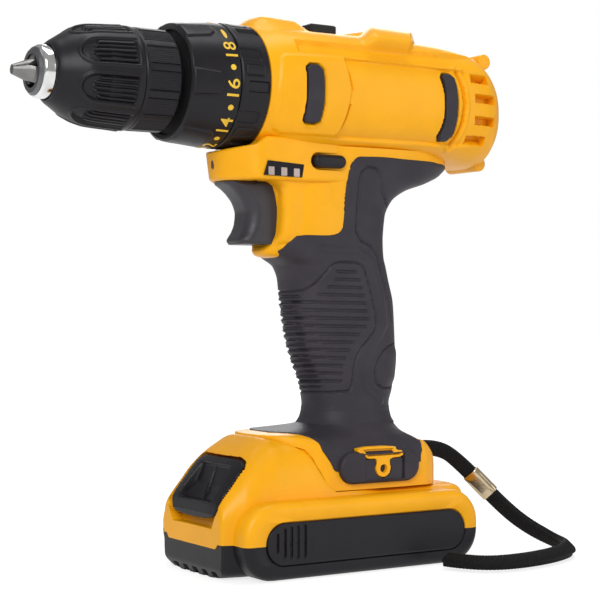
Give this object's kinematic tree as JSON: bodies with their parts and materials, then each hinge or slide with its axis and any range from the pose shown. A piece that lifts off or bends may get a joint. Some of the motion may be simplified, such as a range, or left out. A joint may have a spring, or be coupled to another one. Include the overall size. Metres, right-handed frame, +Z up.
{
  "type": "cordless drill",
  "caption": "Cordless drill driver with a keyless chuck, numbered torque collar, trigger grip, slide-on battery pack and a wrist strap.",
  "frame": {"origin": "centre of the battery's bottom face, on the floor", "axes": "+Z up, -X along the chuck's axis out of the nose, -Y the left side"},
  "size_m": [0.2513, 0.107, 0.2343],
  "materials": {
    "yellow_shell": "satin",
    "soft_grip": "matte",
    "satin_black": "satin",
    "black_plastic": "matte",
    "steel": "brushed",
    "dark_steel": "oiled",
    "jaw_steel": "ground",
    "chrome": "polished",
    "magnet": "matte",
    "lens": "clear",
    "window": "gloss",
    "webbing": "woven",
    "brass": "polished",
    "copper": "machined",
    "cell_wrap": "gloss",
    "board": "satin",
    "nylon": "matte"
  },
  "bodies": {
    "housing": {"housing_left": "yellow_shell", "housing_right": "yellow_shell", "grip_left": "soft_grip", "grip_right": "soft_grip", "hook_socket_left": "soft_grip", "hook_socket_right": "soft_grip", "gear_case": "black_plastic", "ring_gear": "steel", "spindle_bearing": "steel", "clutch_spring": "steel", "motor_can": "steel", "motor_magnets": "magnet", "motor_end_bell": "black_plastic", "carbon_brushes": "magnet", "switch_module": "black_plastic", "work_light": "lens", "charge_window": "window", "terminal_block": "black_plastic", "housing_screws": "dark_steel", "strap": "webbing", "strap_ferrule": "brass"},
    "spindle": {"spindle": "steel", "output_carrier": "steel", "chuck_body": "dark_steel", "chuck_rear_sleeve": "satin_black", "chuck_nose_ring": "chrome", "chuck_screw": "dark_steel"},
    "chuck_sleeve": {"chuck_front_sleeve": "satin_black", "jaw_nut": "dark_steel"},
    "jaw_1": {"chuck_jaw_1": "jaw_steel"},
    "jaw_2": {"chuck_jaw_2": "jaw_steel"},
    "jaw_3": {"chuck_jaw_3": "jaw_steel"},
    "second_planet_1": {"second_planet_1": "steel"},
    "second_planet_2": {"second_planet_2": "steel"},
    "second_planet_3": {"second_planet_3": "steel"},
    "first_carrier": {"first_carrier": "steel"},
    "first_planet_1": {"first_planet_1": "nylon"},
    "first_planet_2": {"first_planet_2": "nylon"},
    "first_planet_3": {"first_planet_3": "nylon"},
    "armature": {"motor_shaft": "steel", "armature_core": "steel", "commutator": "copper", "cooling_fan": "black_plastic", "motor_pinion": "steel"},
    "torque_collar": {"torque_collar": "satin_black"},
    "mode_ring": {"mode_ring": "satin_black"},
    "trigger": {"trigger": "satin_black"},
    "direction_button": {"direction_button": "satin_black"},
    "speed_switch": {"speed_switch": "satin_black"},
    "battery": {"battery_tray": "satin_black", "battery_cover": "yellow_shell", "battery_pad_left": "satin_black", "battery_pad_right": "satin_black", "battery_cells": "cell_wrap", "cell_holder": "black_plastic", "protection_board": "board", "battery_screws": "dark_steel"},
    "release_button": {"release_button": "satin_black"}
  },
  "joints": [
    {"name": "spindle_spin", "type": "hinge", "parent": "housing", "child": "spindle", "pos_m": [0, 0, 0.203], "axis": [1, 0, 0], "continuous": true},
    {"name": "chuck_sleeve_turn", "type": "hinge", "parent": "spindle", "child": "chuck_sleeve", "pos_m": [0, 0, 0.203], "axis": [1, 0, 0], "range_deg": [0, 3868]},
    {"name": "torque_collar_turn", "type": "hinge", "parent": "housing", "child": "torque_collar", "pos_m": [0, 0, 0.203], "axis": [1, 0, 0], "range_deg": [-12.75, 315.75]},
    {"name": "mode_ring_turn", "type": "hinge", "parent": "housing", "child": "mode_ring", "pos_m": [0, 0, 0.203], "axis": [1, 0, 0], "range_deg": [-30, 30]},
    {"name": "trigger_pull", "type": "slide", "parent": "housing", "child": "trigger", "axis": [1, 0, 0], "range_m": [0, 0.006], "stiffness_N_per_m": 500},
    {"name": "direction_shift", "type": "slide", "parent": "housing", "child": "direction_button", "axis": [0, 1, 0], "range_m": [-0.003, 0.003]},
    {"name": "speed_shift", "type": "slide", "parent": "housing", "child": "speed_switch", "axis": [1, 0, 0], "range_m": [0, 0.008]},
    {"name": "battery_slide", "type": "slide", "parent": "housing", "child": "battery", "axis": [-1, 0, 0], "range_m": [0, 0.085]},
    {"name": "release_press", "type": "slide", "parent": "battery", "child": "release_button", "axis": [1, 0, 0], "range_m": [0, 0.003], "stiffness_N_per_m": 600},
    {"name": "jaw_1_slide", "type": "slide", "parent": "spindle", "child": "jaw_1", "axis": [0.9703, 0, 0.2419], "range_m": [0, 0.0269]},
    {"name": "jaw_2_slide", "type": "slide", "parent": "spindle", "child": "jaw_2", "axis": [0.9703, 0.2095, -0.121], "range_m": [0, 0.0269]},
    {"name": "jaw_3_slide", "type": "slide", "parent": "spindle", "child": "jaw_3", "axis": [0.9703, -0.2095, -0.121], "range_m": [0, 0.0269]},
    {"name": "second_planet_1_spin", "type": "hinge", "parent": "spindle", "child": "second_planet_1", "pos_m": [0, 0, 0.2138], "axis": [1, 0, 0], "continuous": true},
    {"name": "second_planet_2_spin", "type": "hinge", "parent": "spindle", "child": "second_planet_2", "pos_m": [0, -0.00935, 0.1976], "axis": [1, 0, 0], "continuous": true},
    {"name": "second_planet_3_spin", "type": "hinge", "parent": "spindle", "child": "second_planet_3", "pos_m": [0, 0.00935, 0.1976], "axis": [1, 0, 0], "continuous": true},
    {"name": "first_carrier_spin", "type": "hinge", "parent": "housing", "child": "first_carrier", "pos_m": [0, 0, 0.203], "axis": [1, 0, 0], "continuous": true},
    {"name": "first_planet_1_spin", "type": "hinge", "parent": "first_carrier", "child": "first_planet_1", "pos_m": [0, 0, 0.2138], "axis": [1, 0, 0], "continuous": true},
    {"name": "first_planet_2_spin", "type": "hinge", "parent": "first_carrier", "child": "first_planet_2", "pos_m": [0, -0.00935, 0.1976], "axis": [1, 0, 0], "continuous": true},
    {"name": "first_planet_3_spin", "type": "hinge", "parent": "first_carrier", "child": "first_planet_3", "pos_m": [0, 0.00935, 0.1976], "axis": [1, 0, 0], "continuous": true},
    {"name": "armature_spin", "type": "hinge", "parent": "housing", "child": "armature", "pos_m": [0, 0, 0.203], "axis": [1, 0, 0], "continuous": true}
  ],
  "couplings": [
    {"joint": "jaw_1_slide", "follows": "chuck_sleeve_turn", "m_per_rad": 0.00039789},
    {"joint": "jaw_2_slide", "follows": "chuck_sleeve_turn", "m_per_rad": 0.00039789},
    {"joint": "jaw_3_slide", "follows": "chuck_sleeve_turn", "m_per_rad": 0.00039789},
    {"joint": "second_planet_1_spin", "follows": "spindle_spin", "ratio": -2.8},
    {"joint": "second_planet_2_spin", "follows": "spindle_spin", "ratio": -2.8},
    {"joint": "second_planet_3_spin", "follows": "spindle_spin", "ratio": -2.8},
    {"joint": "first_carrier_spin", "follows": "spindle_spin", "ratio": 4.5},
    {"joint": "first_planet_1_spin", "follows": "spindle_spin", "ratio": -12.6},
    {"joint": "first_planet_2_spin", "follows": "spindle_spin", "ratio": -12.6},
    {"joint": "first_planet_3_spin", "follows": "spindle_spin", "ratio": -12.6},
    {"joint": "armature_spin", "follows": "spindle_spin", "ratio": 20.25}
  ]
}
